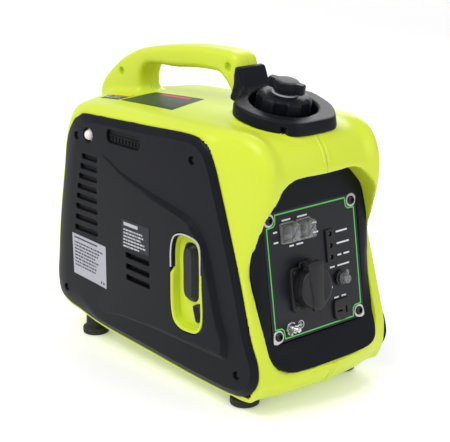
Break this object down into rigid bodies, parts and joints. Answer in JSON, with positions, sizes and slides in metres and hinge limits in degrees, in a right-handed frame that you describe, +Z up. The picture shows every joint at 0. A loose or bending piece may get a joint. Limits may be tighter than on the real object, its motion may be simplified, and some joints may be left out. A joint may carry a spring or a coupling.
{
  "type": "portable inverter generator",
  "caption": "Suitcase-style petrol inverter generator with carry handle, sloped control panel, fuel cap in a collar and side recoil starter.",
  "frame": {"origin": "centre of the footprint on the ground under the feet, midway along the length and the width", "axes": "+Z up, -Y out of the control panel, -X out of the side with the recoil starter"},
  "size_m": [0.222, 0.4287, 0.381],
  "materials": {
    "case": "satin moulded lime plastic",
    "cover": "satin black plastic",
    "panel": "printed film on plate",
    "fittings": "black plastic",
    "socket": "dark plastic",
    "clear": "clear soft vinyl",
    "lamp": "dark lens",
    "steel": "plated steel",
    "trim": "silver painted plastic",
    "alloy": "cast alloy",
    "winding": "copper winding",
    "inner_plastic": "black nylon",
    "tank": "blow moulded plastic",
    "rubber": "black rubber",
    "rope": "braided cord",
    "silicone": "white silicone",
    "ceramic": "glazed ceramic and steel"
  },
  "bodies": {
    "case": {"left_shell": "case", "right_shell": "case", "starter_recess": "case", "left_side_cover": "cover", "right_side_cover": "cover", "tank_collar": "cover", "front_bezel": "cover", "rear_grille": "cover", "control_panel": "panel", "econ_switch": "fittings", "engine_switch": "fittings", "indicator_block": "fittings", "dc_breaker": "fittings", "dc_outlet": "fittings", "rope_guide": "fittings", "ac_socket": "socket", "econ_boot": "clear", "engine_boot": "clear", "indicator_lamp_1": "lamp", "indicator_lamp_2": "lamp", "indicator_lamp_3": "lamp", "left_cover_screw_1": "steel", "left_cover_screw_2": "steel", "left_cover_screw_3": "steel", "left_cover_screw_4": "steel", "panel_screw_top_left": "steel", "panel_screw_top_right": "steel", "panel_screw_bottom_left": "steel", "panel_screw_bottom_right": "steel", "lid_pin": "steel", "ground_stud": "steel", "muffler": "steel", "recess_trim": "trim", "crankcase": "alloy", "cylinder_head": "alloy", "carburettor": "alloy", "inverter_unit": "alloy", "stator": "winding", "starter_housing": "inner_plastic", "air_filter_box": "inner_plastic", "fuel_tank": "tank", "foot_front_left": "rubber", "foot_front_right": "rubber", "foot_rear_left": "rubber", "foot_rear_right": "rubber", "spark_plug": "ceramic"},
    "starter_grip": {"starter_grip": "fittings", "starter_rope": "rope"},
    "starter_pulley": {"starter_pulley": "inner_plastic"},
    "crank": {"crankshaft": "steel", "alternator_rotor": "steel"},
    "fuel_cap": {"fuel_cap": "fittings"},
    "vent_knob": {"vent_knob": "fittings"},
    "socket_lid": {"socket_lid": "socket"},
    "econ_rocker": {"econ_rocker": "fittings"},
    "engine_rocker": {"engine_rocker": "fittings"},
    "breaker_button": {"breaker_button": "fittings"},
    "choke_lever": {"choke_lever": "fittings"},
    "primer_bulb": {"primer_bulb": "silicone"},
    "ground_nut": {"ground_nut": "steel"}
  },
  "joints": [
    {"name": "starter_pull", "type": "slide", "parent": "case", "child": "starter_grip", "axis": [-1, 0, 0], "range_m": [0, 0.6], "stiffness_N_per_m": 25, "springref_m": -0.4},
    {"name": "starter_pulley_turn", "type": "hinge", "parent": "case", "child": "starter_pulley", "pos_m": [0, -0.0835, 0.109], "axis": [0, -1, 0], "range_deg": [0, 960]},
    {"name": "crank_turn", "type": "hinge", "parent": "case", "child": "crank", "pos_m": [0, -0.0155, 0.109], "axis": [0, 1, 0], "continuous": true},
    {"name": "fuel_cap_turn", "type": "hinge", "parent": "case", "child": "fuel_cap", "pos_m": [0, -0.1255, 0.331], "axis": [0, -0.2181, 0.9759], "range_deg": [0, 270]},
    {"name": "vent_knob_turn", "type": "hinge", "parent": "fuel_cap", "child": "vent_knob", "pos_m": [0, -0.12812, 0.34271], "axis": [0, -0.2181, 0.9759], "range_deg": [0, 90]},
    {"name": "socket_lid_open", "type": "hinge", "parent": "case", "child": "socket_lid", "pos_m": [-0.016, -0.18993, 0.16167], "axis": [-1, 0, 0], "range_deg": [0, 115], "stiffness_Nm_per_rad": 0.02, "springref_deg": -57.3},
    {"name": "econ_switch_rock", "type": "hinge", "parent": "case", "child": "econ_rocker", "pos_m": [-0.0375, -0.17167, 0.19942], "axis": [-1, 0, 0], "range_deg": [0, 30]},
    {"name": "engine_switch_rock", "type": "hinge", "parent": "case", "child": "engine_rocker", "pos_m": [-0.0135, -0.17167, 0.19942], "axis": [-1, 0, 0], "range_deg": [0, 30]},
    {"name": "breaker_press", "type": "slide", "parent": "case", "child": "breaker_button", "axis": [0, 0.9905, -0.1374], "range_m": [0, 0.003], "stiffness_N_per_m": 600, "springref_m": -0.002},
    {"name": "choke_turn", "type": "hinge", "parent": "case", "child": "choke_lever", "pos_m": [-0.076, -0.0935, 0.098], "axis": [1, 0, 0], "range_deg": [0, 70]},
    {"name": "primer_press", "type": "slide", "parent": "case", "child": "primer_bulb", "axis": [1, 0, 0], "range_m": [0, 0.004], "stiffness_N_per_m": 1200},
    {"name": "ground_nut_turn", "type": "hinge", "parent": "case", "child": "ground_nut", "pos_m": [-0.044, -0.19189, 0.09369], "axis": [0, -0.9905, 0.1374], "range_deg": [0, 360]}
  ],
  "couplings": [
    {"joint": "starter_pulley_turn", "follows": "starter_pull", "rad_per_m": 27.778}
  ]
}
